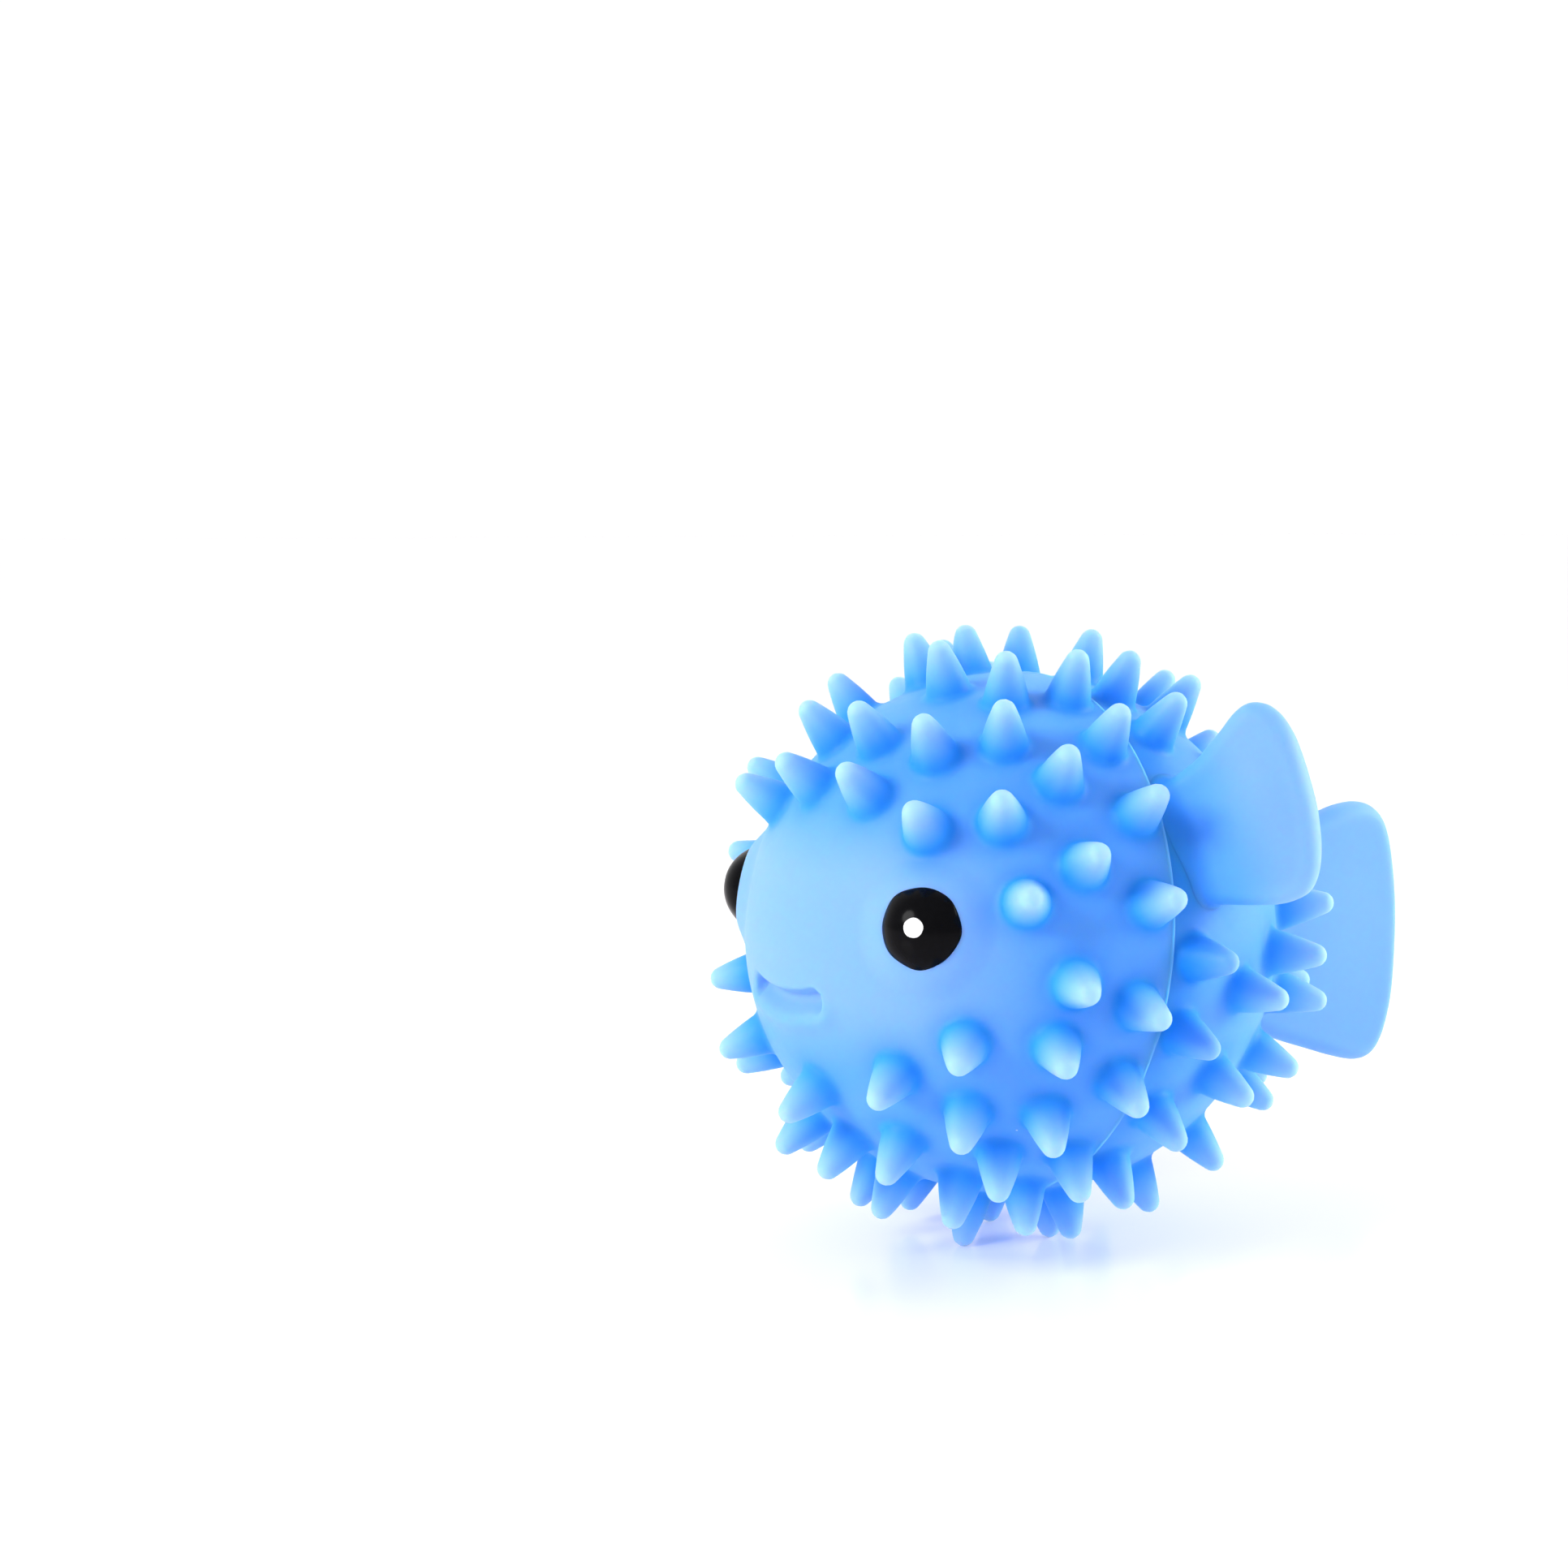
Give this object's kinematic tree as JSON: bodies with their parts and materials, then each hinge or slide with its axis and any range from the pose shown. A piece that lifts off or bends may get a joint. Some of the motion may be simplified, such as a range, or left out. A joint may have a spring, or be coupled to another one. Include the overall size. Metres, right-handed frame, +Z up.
{
  "type": "dryer ball",
  "caption": "Hollow soft dryer ball in the shape of a puffer fish, with blunt spikes, side fins, a tail fan, domed eyes and a small mouth.",
  "frame": {"origin": "middle of the underside of the whole object's box, level with the lowest spike tips that it rests on", "axes": "+Z up, the nose points to -Y and the tail to +Y, the fish's left side is +X; the fish sits with its nose 8 degrees up"},
  "size_m": [0.0756, 0.0924, 0.0687],
  "materials": {
    "vinyl": "soft satin moulded vinyl, slightly translucent, sky blue",
    "eye_black": "gloss black paint",
    "eye_white": "white paint dot"
  },
  "bodies": {
    "root": {"front_shell": "vinyl", "rear_shell": "vinyl", "left_fin": "vinyl", "right_fin": "vinyl", "tail_fin": "vinyl", "left_eye": "eye_black", "right_eye": "eye_black", "left_eye_highlight": "eye_white", "right_eye_highlight": "eye_white"}
  },
  "joints": []
}
